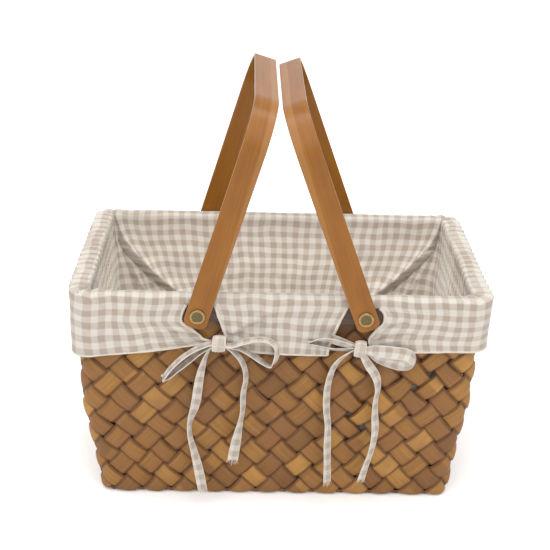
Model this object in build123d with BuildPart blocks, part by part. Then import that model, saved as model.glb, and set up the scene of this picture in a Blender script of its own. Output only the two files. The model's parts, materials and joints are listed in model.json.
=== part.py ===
"""Bread basket: a woven wood tub with a banded rim, two swinging bentwood handles and a tied-on cloth liner.

Millimetres. +Z is up, X runs along the basket and Y across it. The origin is the middle of the base, and
the handles are modelled where they rest: leaning in towards each other over the middle of the basket.
"""

import os
from math import cos, radians, sin, tan

from build123d import *

# Woven tub
basket_height = 231.0  # floor level to the top of the weave and of both rim bands
rim_length = 397.0  # outer face of the weave at the rim, along X
rim_width = 229.0  # outer face of the weave at the rim, along Y
base_length = 365.0
base_width = 207.0
middle_height = 110.0  # level where the walls belly out most
middle_swell = 4.5  # how far they stand out there from a straight taper
corner_radius = 14.0
base_edge_radius = 6.0
weave_thickness = 3.0  # two layers of plaited strip

# Rim bands and the tacks that hold them
band_height = 26.0
band_thickness = 3.0
tack_radius = 0.8
tack_head_radius = 2.2
tack_head_thickness = 0.8
tacks_on_long_side = (-140.0, -35.0, 0.0, 35.0, 140.0)
tacks_on_short_side = (-60.0, 0.0, 60.0)

# Handles
pivot_spread = 80.8  # from the middle of the basket to each pair of rivets, along X
pivot_drop = 17.0  # rivets below the top of the rim
left_lean = 17.0  # degrees from upright, towards the middle
right_lean = 20.4
strap_width = 23.0
strap_thickness = 4.0
strap_standoff = 4.2  # gap from the outer rim band to the inside of a leg
handle_reach = 213.4  # rivet to the outside of the crossbar
handle_bend_radius = 45.0  # outside of the bend
leg_tail = 13.0  # leg below the rivet
leg_corner_radius = 7.0
strap_edge_radius = 0.8

# Rivets, their spacers and their burr washers
rivet_shank_radius = 2.5
rivet_head_radius = 7.5
rivet_head_thickness = 1.8
rivet_recess_radius = 5.2
rivet_recess_depth = 0.7
rivet_edge_radius = 0.6
clench_radius = 3.6
clench_thickness = 1.0
spacer_radius = 8.0
burr_radius = 6.0
burr_thickness = 1.0
turning_clearance = 0.05  # radial, rivet shank in its hole in the handle
side_clearance = 0.2  # each side of a leg, to the spacer and to the rivet head

# Cloth liner
cloth_thickness = 1.2
cloth_gap = 1.2  # skirt to the outer rim band
rim_gap = 0.3  # cloth over the top of the rim
pocket_gap = 3.2  # pocket wall to the inner rim band, which leaves room for the clenched rivets
fold_depth = 9.2  # unbroken cloth that turns down outside the rim
skirt_depth = 61.5  # top of the liner to the hem of the skirt
slit_half_width = 17.0
slit_side_drop = 13.0  # level, below the fold, down to which a slit keeps its full width
skirt_parting = 0.6  # gap between two skirts under a bow

# Ties. Places are from the middle of the knot, across and up, on the face that the bow is tied on.
knot_width = 13.0
knot_height = 16.0
knot_depth = 9.0
knot_edge_radius = 3.0
loop_thickness = 1.5
tie_width = 9.0
tie_thickness = 1.0
wide_slit_bow = {
    "from_pivot": (20.8, -29.0),
    "loops": ((-30.0, -17.0, 68.0, 13.0, 38.0), (31.0, -6.0, 54.0, 25.0, -12.0)),
    "ends": {
        "outer": ((-6, -1), (-12, -11), (-17, -28), (-20, -47), (-22, -67), (-29, -88), (-28.5, -104),
                  (-23, -125), (-18.5, -146), (-15, -168)),
        "inner": ((5, -1), (16, -9), (24, -20.5), (27.5, -37), (24, -54), (24.5, -73), (21, -92),
                  (17.5, -112), (15, -131)),
    },
}
narrow_slit_bow = {
    "from_pivot": (-3.8, -32.0),
    "loops": ((-28.0, 4.0, 46.0, 14.0, 0.0), (30.0, -7.0, 52.0, 25.0, -10.0)),
    "ends": {
        "inner": ((-5, -1), (-16, -8), (-25, -19), (-29, -34), (-30.5, -51), (-30, -69), (-27, -88),
                  (-27.5, -109), (-26, -131), (-25.5, -152)),
        "outer": ((1, -3), (8, -16.5), (17.5, -29), (20.5, -43), (18, -58), (18.5, -75), (20.5, -93),
                  (18, -113), (13, -132), (9, -149)),
    },
}

# Levels and depths that follow from the sizes above. A depth is a distance from the middle plane, along Y.
rim_start = basket_height - band_height
pivot_height = basket_height - pivot_drop
liner_top = basket_height + rim_gap + cloth_thickness
fold_bottom = liner_top - fold_depth
skirt_bottom = liner_top - skirt_depth
pocket_inset = weave_thickness + band_thickness + pocket_gap
skirt_offset = band_thickness + cloth_gap
band_face = rim_width / 2 + band_thickness
inner_band_face = rim_width / 2 - weave_thickness - band_thickness
skirt_face = rim_width / 2 + skirt_offset + cloth_thickness
leg_inside = band_face + strap_standoff
leg_outside = leg_inside + strap_thickness
head_underside = leg_outside + side_clearance
clench_level = inner_band_face - burr_thickness
tack_level = basket_height - band_height / 2

# The front face, and the back face as the front one turned half round, so a place on one is the same on both.
faces = {
    "front": Plane((0, 0, 0), x_dir=(1, 0, 0), z_dir=(0, -1, 0)),
    "back": Plane((0, 0, 0), x_dir=(-1, 0, 0), z_dir=(0, 1, 0)),
}
# The side of the basket, in X, that the near side of each face lies on, going along the face.
side_names = {"front": ("left", "right"), "back": ("right", "left")}


def outline_at(height):
    """Length and width of the tub's outer face at a level."""
    share = min(height / rim_start, 1.0)
    if height <= middle_height:
        swell = middle_swell * height / middle_height
    else:
        swell = middle_swell * max(rim_start - height, 0.0) / (rim_start - middle_height)
    length = base_length + (rim_length - base_length) * share + 2 * swell
    width = base_width + (rim_width - base_width) * share + 2 * swell
    return length, width


def tub(inset, floor, top, edge_radius):
    """Closed solid with the tub's outline drawn in by inset, from floor to top."""
    levels = (floor, middle_height, rim_start, top)
    with BuildPart() as solid:
        for low, high in zip(levels[:-1], levels[1:]):
            for level in (low, high):
                length, width = outline_at(level)
                with BuildSketch(Plane.XY.offset(level)):
                    RectangleRounded(length - 2 * inset, width - 2 * inset, corner_radius - inset)
            loft(ruled=True)
        fillet(solid.edges().group_by(Axis.Z)[0], radius=edge_radius)
    return solid.part


def rim_ring(outside, inside, bottom, top):
    """Upright ring round the rim between two offsets from the outer face of the weave."""
    with BuildPart() as ring:
        with BuildSketch(Plane.XY.offset(bottom)):
            RectangleRounded(rim_length + 2 * outside, rim_width + 2 * outside, corner_radius + outside)
            RectangleRounded(
                rim_length + 2 * inside, rim_width + 2 * inside, corner_radius + inside, mode=Mode.SUBTRACT
            )
        extrude(amount=top - bottom)
    return ring.part


def face_disc(face, spots, radius, near, far):
    """Discs square to a face, at places on it, between two depths."""
    with BuildPart() as discs:
        with BuildSketch(face.offset(near)):
            with Locations(*spots):
                Circle(radius)
        extrude(amount=far - near)
    return discs.part


def write(part, name):
    part.label = name
    export_step(part, f"parts/{name}.step")


os.makedirs("parts", exist_ok=True)

# ---- Holes and tacks -------------------------------------------------------------------------------------
pivot_spots = ((-pivot_spread, pivot_height), (pivot_spread, pivot_height))
long_tack_spots = [(across, tack_level) for across in tacks_on_long_side]
short_tack_spots = [(across, tack_level) for across in tacks_on_short_side]
ends = (
    Plane((0, 0, 0), x_dir=(0, -1, 0), z_dir=(-1, 0, 0)),
    Plane((0, 0, 0), x_dir=(0, 1, 0), z_dir=(1, 0, 0)),
)
past_rim = band_thickness + 1.0
with BuildPart() as rim_holes:
    for face in faces.values():
        near, far = rim_width / 4, rim_width / 2 + past_rim
        add(face_disc(face, pivot_spots, rivet_shank_radius, near, far))
        add(face_disc(face, long_tack_spots, tack_radius, near, far))
    for end in ends:
        add(face_disc(end, short_tack_spots, tack_radius, rim_length / 4, rim_length / 2 + past_rim))

with BuildPart() as rim_tacks:
    sides = [(face, long_tack_spots, rim_width / 2) for face in faces.values()]
    sides += [(end, short_tack_spots, rim_length / 2) for end in ends]
    for side, spots, weave_face in sides:
        outside = weave_face + band_thickness
        inside = weave_face - weave_thickness - band_thickness
        add(face_disc(side, spots, tack_radius, inside, outside))
        add(face_disc(side, spots, tack_head_radius, outside, outside + tack_head_thickness))
write(rim_tacks.part, "rim_tacks")

# ---- Woven tub and rim bands -----------------------------------------------------------------------------
tub_outside = tub(0.0, 0.0, basket_height, base_edge_radius)
tub_inside = tub(weave_thickness, weave_thickness, basket_height, base_edge_radius - weave_thickness)
with BuildPart() as woven_body:
    add(tub_outside)
    add(tub_inside, mode=Mode.SUBTRACT)
    add(rim_holes.part, mode=Mode.SUBTRACT)
write(woven_body.part, "woven_body")

with BuildPart() as outer_rim_band:
    add(rim_ring(band_thickness, 0.0, rim_start, basket_height))
    add(rim_holes.part, mode=Mode.SUBTRACT)
write(outer_rim_band.part, "outer_rim_band")

with BuildPart() as inner_rim_band:
    add(rim_ring(-weave_thickness, -weave_thickness - band_thickness, rim_start, basket_height))
    add(rim_holes.part, mode=Mode.SUBTRACT)
write(inner_rim_band.part, "inner_rim_band")

# ---- Cloth liner: a pocket that folds over the rim, and four skirts parted by the slits for the handles ------
pocket_outside = tub(pocket_inset, weave_thickness, liner_top, cloth_thickness)
pocket_inside = tub(
    pocket_inset + cloth_thickness, weave_thickness + cloth_thickness, liner_top, cloth_thickness / 2
)
with BuildPart() as liner_pocket:
    add(rim_ring(skirt_offset + cloth_thickness, -pocket_inset - cloth_thickness / 2, fold_bottom, liner_top))
    add(
        rim_ring(skirt_offset, -pocket_inset, fold_bottom, liner_top - cloth_thickness),
        mode=Mode.SUBTRACT,
    )
    add(pocket_outside)
    add(pocket_inside, mode=Mode.SUBTRACT)
write(liner_pocket.part, "liner_pocket")

with BuildPart() as skirts:
    add(rim_ring(skirt_offset + cloth_thickness, skirt_offset, skirt_bottom, fold_bottom))
    for face in faces.values():
        for direction, bow in ((-1, wide_slit_bow), (1, narrow_slit_bow)):
            pivot = direction * pivot_spread
            knot = pivot + bow["from_pivot"][0]
            throat = pivot_height + bow["from_pivot"][1] + knot_height / 2
            shoulder = fold_bottom - slit_side_drop
            with BuildSketch(face) as slit:
                Polygon(
                    (pivot - slit_half_width, fold_bottom),
                    (pivot - slit_half_width, shoulder),
                    (knot - skirt_parting / 2, throat),
                    (knot - skirt_parting / 2, skirt_bottom),
                    (knot + skirt_parting / 2, skirt_bottom),
                    (knot + skirt_parting / 2, throat),
                    (pivot + slit_half_width, shoulder),
                    (pivot + slit_half_width, fold_bottom),
                    align=None,
                )
            extrude(amount=rim_width, mode=Mode.SUBTRACT)

for name, axis, place in (
    ("skirt_front", Axis.Y, 0),
    ("skirt_back", Axis.Y, -1),
    ("skirt_left", Axis.X, 0),
    ("skirt_right", Axis.X, -1),
):
    with BuildPart() as skirt:
        add(skirts.solids().sort_by(axis)[place])
    write(skirt.part, name)

# ---- Rivets, spacers and burr washers, one of each at every pivot ------------------------------------------
for face_name, face in faces.items():
    for side, spot in zip(side_names[face_name], pivot_spots):
        with BuildPart() as rivet:
            add(face_disc(face, [spot], rivet_head_radius, head_underside, head_underside + rivet_head_thickness))
            with BuildSketch(face.offset(head_underside + rivet_head_thickness)):
                with Locations(spot):
                    Circle(rivet_recess_radius)
            extrude(amount=-rivet_recess_depth, mode=Mode.SUBTRACT)
            fillet(
                rivet.faces().sort_by(Axis((0, 0, 0), tuple(face.z_dir)))[-1].edges(), radius=rivet_edge_radius
            )
            add(face_disc(face, [spot], rivet_shank_radius, clench_level, head_underside))
            add(face_disc(face, [spot], clench_radius, clench_level - clench_thickness, clench_level))
        write(rivet.part, f"rivet_{face_name}_{side}")

        with BuildPart() as spacer:
            add(face_disc(face, [spot], spacer_radius, band_face, leg_inside - side_clearance))
            add(face_disc(face, [spot], rivet_shank_radius, band_face, leg_inside), mode=Mode.SUBTRACT)
        write(spacer.part, f"spacer_{face_name}_{side}")

        with BuildPart() as burr:
            add(face_disc(face, [spot], burr_radius, clench_level, inner_band_face))
            add(face_disc(face, [spot], rivet_shank_radius, clench_level, inner_band_face), mode=Mode.SUBTRACT)
        write(burr.part, f"burr_{face_name}_{side}")

# ---- Handles: a flat strap bent to a hoop, with a leg outside each long wall -------------------------------
for name, pivot, lean in (("left_handle", -pivot_spread, left_lean), ("right_handle", pivot_spread, -right_lean)):
    upward = (sin(radians(lean)), 0, cos(radians(lean)))
    across = (cos(radians(lean)), 0, -sin(radians(lean)))
    with BuildPart() as handle:
        with BuildSketch(Plane((pivot, 0, pivot_height), x_dir=(0, 1, 0), z_dir=across)):
            with BuildLine():
                outside = FilletPolyline(
                    (-leg_outside, -leg_tail),
                    (-leg_outside, handle_reach),
                    (leg_outside, handle_reach),
                    (leg_outside, -leg_tail),
                    radius=handle_bend_radius,
                )
                inside = FilletPolyline(
                    (-leg_inside, -leg_tail),
                    (-leg_inside, handle_reach - strap_thickness),
                    (leg_inside, handle_reach - strap_thickness),
                    (leg_inside, -leg_tail),
                    radius=handle_bend_radius - strap_thickness,
                )
                Line(outside @ 0, inside @ 0)
                Line(outside @ 1, inside @ 1)
            make_face()
        extrude(amount=strap_width / 2, both=True)
        fillet(handle.edges().filter_by(Axis.Y).sort_by(Axis((0, 0, 0), upward))[:4], radius=leg_corner_radius)
        strap_sides = handle.faces().filter_by(Plane((0, 0, 0), z_dir=across))
        fillet(strap_sides.edges(), radius=strap_edge_radius)
        with BuildSketch(Plane((pivot, 0, pivot_height), x_dir=(1, 0, 0), z_dir=(0, -1, 0))):
            Circle(rivet_shank_radius + turning_clearance)
        extrude(amount=leg_outside, both=True, mode=Mode.SUBTRACT)
    write(handle.part, name)

# ---- Ties: a knot with two loops at the foot of each slit, and its two loose ends ---------------------------
tie_depth = skirt_face + knot_depth / 2
for face_name, face in faces.items():
    for side, direction, bow in zip(side_names[face_name], (-1, 1), (wide_slit_bow, narrow_slit_bow)):
        knot_across = direction * pivot_spread + bow["from_pivot"][0]
        knot_up = pivot_height + bow["from_pivot"][1]
        with BuildPart() as knot:
            with BuildSketch(face.offset(skirt_face)):
                with Locations((knot_across, knot_up)):
                    RectangleRounded(knot_width, knot_height, knot_width / 3)
            extrude(amount=knot_depth)
            front_face = knot.faces().sort_by(Axis((0, 0, 0), tuple(face.z_dir)))[-1]
            fillet(front_face.edges(), radius=knot_edge_radius)
            for loop_across, loop_up, loop_length, loop_height, slope in bow["loops"]:
                with BuildSketch(face.offset(skirt_face)):
                    with Locations((knot_across + loop_across, knot_up + loop_up)):
                        Ellipse(loop_length / 2, loop_height / 2, rotation=slope)
                extrude(amount=loop_thickness)
        write(knot.part, f"tie_bow_{face_name}_{side}")

        for end_name, route in bow["ends"].items():
            points = [(knot_across + x, knot_up + y) for x, y in route]
            radii = []
            for before, here, after in zip(points, points[1:], points[2:]):
                run_in = Vector(*here) - Vector(*before)
                run_out = Vector(*after) - Vector(*here)
                turn = run_in.get_angle(run_out)
                shorter_run = min(run_in.length, run_out.length)
                radii.append(0.45 * shorter_run / tan(radians(turn) / 2))
            with BuildPart() as loose_end:
                with BuildLine(face.offset(tie_depth)) as course:
                    FilletPolyline(*points, radius=radii)
                with BuildSketch(Plane(course.line @ 0, x_dir=face.z_dir, z_dir=course.line % 0)):
                    Rectangle(tie_thickness, tie_width)
                sweep()
            name = f"tie_end_{face_name}_{side}_{end_name}"
            length = course.wires()[0].length
            expected = length * tie_thickness * tie_width
            print(f"{name}: length {length:.1f}, radii {[round(r) for r in radii]},")
            print(f"  volume {loose_end.part.volume:.0f} against {expected:.0f} for section times length")
            write(loose_end.part, name)
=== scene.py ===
"""Looks of the bread basket: plaited strips, gingham liner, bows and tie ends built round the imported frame.

Metres, in the frame's axes: +Z up, X along the basket, the front long wall at -Y. The back is the front
turned half round the Z axis, so every place on a long wall is written once.
"""

import json
import math
import random

import bmesh
import bpy
import numpy as np
from mathutils import Matrix, Vector, noise


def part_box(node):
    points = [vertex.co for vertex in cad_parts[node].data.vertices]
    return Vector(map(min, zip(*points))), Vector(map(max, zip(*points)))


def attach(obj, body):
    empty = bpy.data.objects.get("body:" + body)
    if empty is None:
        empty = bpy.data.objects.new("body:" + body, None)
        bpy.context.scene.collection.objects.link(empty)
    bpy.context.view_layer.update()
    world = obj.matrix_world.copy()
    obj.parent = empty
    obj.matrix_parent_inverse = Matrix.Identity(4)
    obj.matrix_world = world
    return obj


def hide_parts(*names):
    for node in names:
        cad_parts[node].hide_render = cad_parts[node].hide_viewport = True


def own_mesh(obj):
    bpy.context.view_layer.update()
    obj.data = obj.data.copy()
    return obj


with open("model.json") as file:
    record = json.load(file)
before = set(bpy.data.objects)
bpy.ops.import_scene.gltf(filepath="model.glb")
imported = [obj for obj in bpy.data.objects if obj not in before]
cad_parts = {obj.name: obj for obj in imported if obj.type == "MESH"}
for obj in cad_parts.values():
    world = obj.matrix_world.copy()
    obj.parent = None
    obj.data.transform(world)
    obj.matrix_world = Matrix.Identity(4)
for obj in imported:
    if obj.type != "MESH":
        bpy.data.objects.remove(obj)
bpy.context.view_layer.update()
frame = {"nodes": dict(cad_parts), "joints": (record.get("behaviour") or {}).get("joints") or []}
MM = 0.001
BASKET = "basket"

# ---------------------------------------------------------------------------------------------------------
# Sizes read from the frame
# ---------------------------------------------------------------------------------------------------------
band_low, band_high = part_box("outer_rim_band")
skirt_low, skirt_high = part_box("skirt_front")
rim_start, rim_top = band_low.z, band_high.z
weave_thickness = band_thickness = 3.0 * MM
burr_room = 3.2 * MM  # between the inner rim band and the liner, for the clenched rivets
cloth = 1.2 * MM  # the CAD sheets; the visual cloth is thinner and lies in the middle of them
visual_cloth = 0.8 * MM
skirt_face = -skirt_low.y
fold_bottom, hem_level = skirt_high.z, skirt_low.z
liner_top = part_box("liner_pocket")[1].z
pivots = {side: joint["pos_m"] for side, joint in zip(("left", "right"), frame["joints"])}
pivot_height = pivots["left"][2]
pivot_spread = pivots["right"][0]

corner_radius = 14.0 * MM
edge_radius = 6.0 * MM  # round the bottom of the tub
middle_height = 110.0 * MM  # the walls bend a little here


def measured_outline():
    """Levels of the tub's sections with its half length and half width there, read from the CAD mesh."""
    points = np.array([v.co for v in frame["nodes"]["woven_body"].data.vertices])
    rows = []
    for level in (edge_radius, middle_height, rim_start, rim_top):
        near = np.abs(points[:, 2] - level) < 0.6 * MM
        rows.append((level, np.abs(points[near, 0]).max(), np.abs(points[near, 1]).max()))
    return np.array(rows)


outline = measured_outline()


def half_sizes(height):
    """Half length and half width of the tub's outer face at heights."""
    return (
        np.interp(height, outline[:, 0], outline[:, 1]),
        np.interp(height, outline[:, 0], outline[:, 2]),
    )


# ---------------------------------------------------------------------------------------------------------
# Going round the tub: a share of the way round, from the middle of the front, to the right
# ---------------------------------------------------------------------------------------------------------
reference_x, reference_y = half_sizes(middle_height)
straight_x = 2 * (reference_x - corner_radius)
straight_y = 2 * (reference_y - corner_radius)
corner_length = corner_radius * math.pi / 2
round_lengths = np.array(
    [straight_x / 2, corner_length, straight_y, corner_length, straight_x, corner_length, straight_y,
     corner_length, straight_x / 2]
)
perimeter = round_lengths.sum()
round_ends = np.concatenate([[0.0], np.cumsum(round_lengths)]) / perimeter


def round_tub(share, half_x, half_y, radius):
    """Points and outward directions on a rounded rectangle, at shares of the way round it."""
    share, half_x, half_y, radius = np.broadcast_arrays(np.mod(share, 1.0), half_x, half_y, radius)
    piece = np.clip(np.searchsorted(round_ends, share, side="right") - 1, 0, 8)
    t = (share - round_ends[piece]) / (round_ends[piece + 1] - round_ends[piece])
    flat_x, flat_y = half_x - radius, half_y - radius
    x, y, nx, ny = (np.zeros(share.shape) for _ in range(4))
    straights = {
        0: (flat_x * t, -half_y, 0, -1),
        2: (half_x, flat_y * (2 * t - 1), 1, 0),
        4: (flat_x * (1 - 2 * t), half_y, 0, 1),
        6: (-half_x, flat_y * (1 - 2 * t), -1, 0),
        8: (flat_x * (t - 1), -half_y, 0, -1),
    }
    for number, (px, py, dx, dy) in straights.items():
        here = piece == number
        x[here] = np.broadcast_to(px, share.shape)[here]
        y[here] = np.broadcast_to(py, share.shape)[here]
        nx[here], ny[here] = dx, dy
    for number, sign_x, sign_y, start in ((1, 1, -1, -90), (3, 1, 1, 0), (5, -1, 1, 90), (7, -1, -1, 180)):
        here = piece == number
        angle = np.radians(start + 90 * t[here])
        nx[here], ny[here] = np.cos(angle), np.sin(angle)
        x[here] = sign_x * flat_x[here] + radius[here] * nx[here]
        y[here] = sign_y * flat_y[here] + radius[here] * ny[here]
    return x, y, nx, ny


def smooth(t):
    """A step from 0 to 1 without corners."""
    t = np.clip(t, 0.0, 1.0)
    return t * t * (3 - 2 * t)


def ripple(points, size, seed):
    """Smooth noise from -1 to 1 at points, with lumps of a size."""
    shift = Vector((seed * 17.3, seed * 5.1, seed * 9.7))
    return np.array([noise.noise(Vector(p) / size + shift) for p in points])


def distances(line):
    """How far along a line each of its points is."""
    return np.concatenate([[0.0], np.cumsum(np.linalg.norm(np.diff(line, axis=0), axis=1))])


def spaced(line, spacing):
    """The same line with its points evenly spaced, about a spacing apart."""
    lengths = distances(line)
    at = np.linspace(0, lengths[-1], max(int(lengths[-1] / spacing), 3) + 1)
    return np.stack([np.interp(at, lengths, values) for values in line.T], -1)


def unit(vectors):
    """Vectors made one long."""
    return vectors / np.linalg.norm(vectors, axis=1)[:, None]


# ---------------------------------------------------------------------------------------------------------
# Mesh helpers
# ---------------------------------------------------------------------------------------------------------
def mesh_object(name, points, faces, material, attributes=None):
    """A smooth mesh in the scene, with vectors stored at its points for its material."""
    mesh = bpy.data.meshes.new(name)
    mesh.from_pydata([tuple(p) for p in points], [], faces)
    for key, values in (attributes or {}).items():
        layer = mesh.attributes.new(key, "FLOAT_VECTOR", "POINT")
        layer.data.foreach_set("vector", np.asarray(values, np.float32).ravel())
    mesh.polygons.foreach_set("use_smooth", [True] * len(mesh.polygons))
    mesh.materials.append(material)
    mesh.update()
    piece = bpy.data.objects.new(name, mesh)
    bpy.context.scene.collection.objects.link(piece)
    return piece


def faces_between(rows, closed=False):
    """Quads between rows of point numbers; closed joins the last column to the first."""
    faces = []
    for low, high in zip(rows, rows[1:]):
        for c in range(len(low) if closed else len(low) - 1):
            d = (c + 1) % len(low)
            faces.append((low[c], low[d], high[d], high[c]))
    return faces


def grid_rows(rows, columns, start=0):
    """Numbers of a grid of points stored row by row."""
    return [range(start + r * columns, start + (r + 1) * columns) for r in range(rows)]


def tube_faces(rows, columns, start=0):
    """A tube of closed rows with a flat face on each end."""
    rings = grid_rows(rows, columns, start)
    return faces_between(rings, closed=True) + [tuple(rings[0])[::-1], tuple(rings[-1])]


def apply_modifiers(piece):
    """Bakes a piece's modifiers into its mesh."""
    bpy.context.view_layer.update()
    result = bpy.data.meshes.new_from_object(piece.evaluated_get(bpy.context.evaluated_depsgraph_get()))
    piece.modifiers.clear()
    piece.data = result


def thicken(piece, thickness):
    """Gives a sheet a thickness, half to each side."""
    modifier = piece.modifiers.new("thickness", "SOLIDIFY")
    modifier.thickness = thickness
    modifier.offset = 0.0
    modifier.use_even_offset = False
    apply_modifiers(piece)


# ---------------------------------------------------------------------------------------------------------
# Materials
# ---------------------------------------------------------------------------------------------------------
class Shader:
    """A node material with a short way to add and join its nodes."""

    def __init__(self, name):
        self.material = bpy.data.materials.new(name)
        self.material.use_nodes = True
        self.tree = self.material.node_tree
        self.surface = self.tree.nodes["Principled BSDF"]

    def node(self, kind, inputs=None, **settings):
        added = self.tree.nodes.new("ShaderNode" + kind)
        for key, value in settings.items():
            setattr(added, key, value)
        for key, value in (inputs or {}).items():
            self.set(added.inputs[key], value)
        return added

    def set(self, socket, value):
        if isinstance(value, bpy.types.NodeSocket):
            self.tree.links.new(value, socket)
        else:
            socket.default_value = value

    def math(self, operation, a, b=0.0, c=0.0, clamp=False):
        return self.node("Math", {0: a, 1: b, 2: c}, operation=operation, use_clamp=clamp).outputs[0]

    def times(self, a, b):
        return self.math("MULTIPLY", a, b)

    def span(self, value, start, finish, low, high):
        """A value made from low to high while it goes from start to finish, and held beyond them."""
        return self.node("MapRange", {0: value, 1: start, 2: finish, 3: low, 4: high}).outputs[0]

    def mix(self, factor, a, b):
        made = self.node("Mix", data_type="RGBA")
        self.set(made.inputs[0], factor)
        self.set(made.inputs[6], a)
        self.set(made.inputs[7], b)
        return made.outputs[2]

    def ramp(self, factor, stops):
        made = self.node("ValToRGB", {0: factor})
        elements = made.color_ramp.elements
        while len(elements) < len(stops):
            elements.new(0.5)
        for element, (place, colour) in zip(elements, stops):
            element.position = place
            element.color = colour
        return made.outputs[0]

    def noise(self, vector, scale, detail=3.0, roughness=0.5):
        made = self.node("TexNoise", {"Vector": vector, "Scale": scale, "Detail": detail, "Roughness": roughness})
        return made.outputs[0]

    def combine(self, x, y, z):
        return self.node("CombineXYZ", {0: x, 1: y, 2: z}).outputs[0]

    def stretched(self, x, x_scale, y, y_scale, z=0.0):
        """Places for a noise with its own scale in each of two directions."""
        return self.combine(self.times(x, x_scale), self.times(y, y_scale), z)

    def split(self, vector):
        return self.node("SeparateXYZ", {0: vector}).outputs

    def attribute(self, name):
        return self.node("Attribute", attribute_name=name).outputs["Vector"]

    def here(self):
        return self.node("TexCoord").outputs["Object"]

    def bump(self, height, distance, strength=1.0):
        made = self.node("Bump", {"Height": height, "Distance": distance, "Strength": strength})
        self.tree.links.new(made.outputs[0], self.surface.inputs["Normal"])

    def finish(self, colour, roughness, **sockets):
        self.set(self.surface.inputs["Base Color"], colour)
        self.set(self.surface.inputs["Roughness"], roughness)
        for key, value in sockets.items():
            self.set(self.surface.inputs[key.replace("_", " ")], value)
        return self.material


def rgb(red, green, blue):
    """A colour given as it shows on a screen, from 0 to 255, as the linear values a shader takes."""
    values = [v / 255 for v in (red, green, blue)]
    return tuple(v / 12.92 if v <= 0.04045 else ((v + 0.055) / 1.055) ** 2.4 for v in values) + (1.0,)


check = 6.35 * MM  # a quarter-inch square of the cloth


def gingham_material():
    """Cotton woven in checks: two sets of stripes that darken where they cross, over a fine plain weave."""
    s = Shader("gingham_cotton")
    place = s.attribute("cloth")
    u, v, edge = s.split(place)
    wander = s.noise(place, 70.0, 2.0)
    waver = s.node("TexNoise", {"Vector": place, "Scale": 26.0, "Detail": 1.0}).outputs["Color"]
    waver_u, waver_v, _ = s.split(waver)
    waver_depth, wander_depth = 8.0 * MM, 0.8 * MM
    softness = 0.06

    def stripe(coordinate, waver_here):
        moved = s.math("MULTIPLY_ADD", waver_here, waver_depth, coordinate)
        moved = s.math("MULTIPLY_ADD", wander, wander_depth, moved)
        wave = s.math("PINGPONG", s.math("DIVIDE", moved, check), 1.0)
        return s.span(wave, 0.5 - softness, 0.5 + softness, 0.0, 1.0)

    depth = s.times(s.math("ADD", stripe(u, waver_u), stripe(v, waver_v)), 0.5)
    slub = s.noise(s.stretched(u, 900.0, v, 120.0), 1.0, 2.0)
    slub_across = s.noise(s.stretched(u, 120.0, v, 900.0, 3.0), 1.0, 2.0)
    depth = s.math("MULTIPLY_ADD", s.math("SUBTRACT", slub, slub_across), 0.35, depth)
    colour = s.ramp(depth, [(0.0, rgb(190, 184, 175)), (0.5, rgb(171, 161, 150)), (1.0, rgb(147, 134, 121))])
    patch = s.noise(place, 35.0, 3.0)
    colour = s.mix(s.times(patch, 0.22), colour, rgb(182, 172, 162))
    colour = s.mix(edge, colour, rgb(198, 188, 176))
    yarn = 0.42 * MM
    weft, warp = (s.math("SINE", s.times(way, 2 * math.pi / yarn)) for way in (u, v))
    s.bump(s.math("MULTIPLY_ADD", slub, 0.8, s.times(weft, warp)), 0.06 * MM, 0.7)
    return s.finish(colour, 0.88, Sheen_Weight=0.25, Sheen_Roughness=0.5, Specular_IOR_Level=0.25)


def strip_material():
    """Split wood strip: long grain, tone that changes from strip to strip and tile to tile, and painted shade at its
    edges, where it dips under another and just under the rim.
    """
    s = Shader("plaited_wood_strip")
    along, across, number = s.split(s.attribute("strip"))
    height, side, tile = s.split(s.attribute("lie"))
    grain = s.noise(s.stretched(along, 14.0, across, 420.0, number), 1.0, 4.0, 0.6)
    fine = s.noise(s.stretched(along, 60.0, across, 1500.0, number), 1.0, 2.0)
    blotch = s.noise(s.stretched(along, 30.0, across, 40.0, number), 1.0, 2.0)
    tone = s.math("MULTIPLY_ADD", grain, 0.45, s.math("MULTIPLY_ADD", tile, 0.55, s.times(blotch, 0.25)))
    colour = s.ramp(tone, [(0.2, rgb(79, 49, 14)), (0.42, rgb(108, 70, 23)), (0.62, rgb(131, 88, 32)),
                           (0.84, rgb(161, 116, 50))])
    reddish = s.times(s.math("SUBTRACT", blotch, 0.42, clamp=True), 1.6)
    colour = s.mix(reddish, colour, rgb(108, 66, 38))
    colour = s.mix(s.times(fine, 0.22), colour, rgb(78, 51, 25))
    colour = s.mix(s.span(height, 0.25, -0.6, 0.0, 0.85), colour, rgb(64, 38, 20))  # painted shade, with some grime, where it dips under another
    # painted shade along the strip's edges and on the wider lower ply that shows beside them
    colour = s.mix(s.span(side, 0.86, 1.02, 0.0, 0.75), colour, rgb(84, 50, 24))
    # painted shade on the strips just under the rim, where the cloth fold and the handles shade them
    level = s.split(s.here())[2]
    painted_rim_shade = s.span(level, 186 * MM, 197 * MM, 0.0, 0.62)
    colour = s.mix(painted_rim_shade, colour, rgb(62, 38, 22))
    s.bump(s.math("MULTIPLY_ADD", grain, 0.6, s.times(fine, 0.5)), 0.25 * MM, 0.6)
    return s.finish(colour, s.span(grain, 0.3, 0.7, 0.5, 0.62), Specular_IOR_Level=0.4)


def band_material():
    """Dark stained bentwood of the rim bands, with its grain running round the rim."""
    s = Shader("dark_rim_wood")
    x, y, z = s.split(s.here())
    grain = s.noise(s.stretched(x, 12.0, y, 12.0, s.times(z, 480.0)), 1.0, 4.0, 0.6)
    colour = s.ramp(grain, [(0.3, rgb(48, 32, 18)), (0.55, rgb(70, 46, 27)), (0.75, rgb(92, 62, 38))])
    s.bump(grain, 0.2 * MM, 0.5)
    return s.finish(colour, 0.5)


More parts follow.
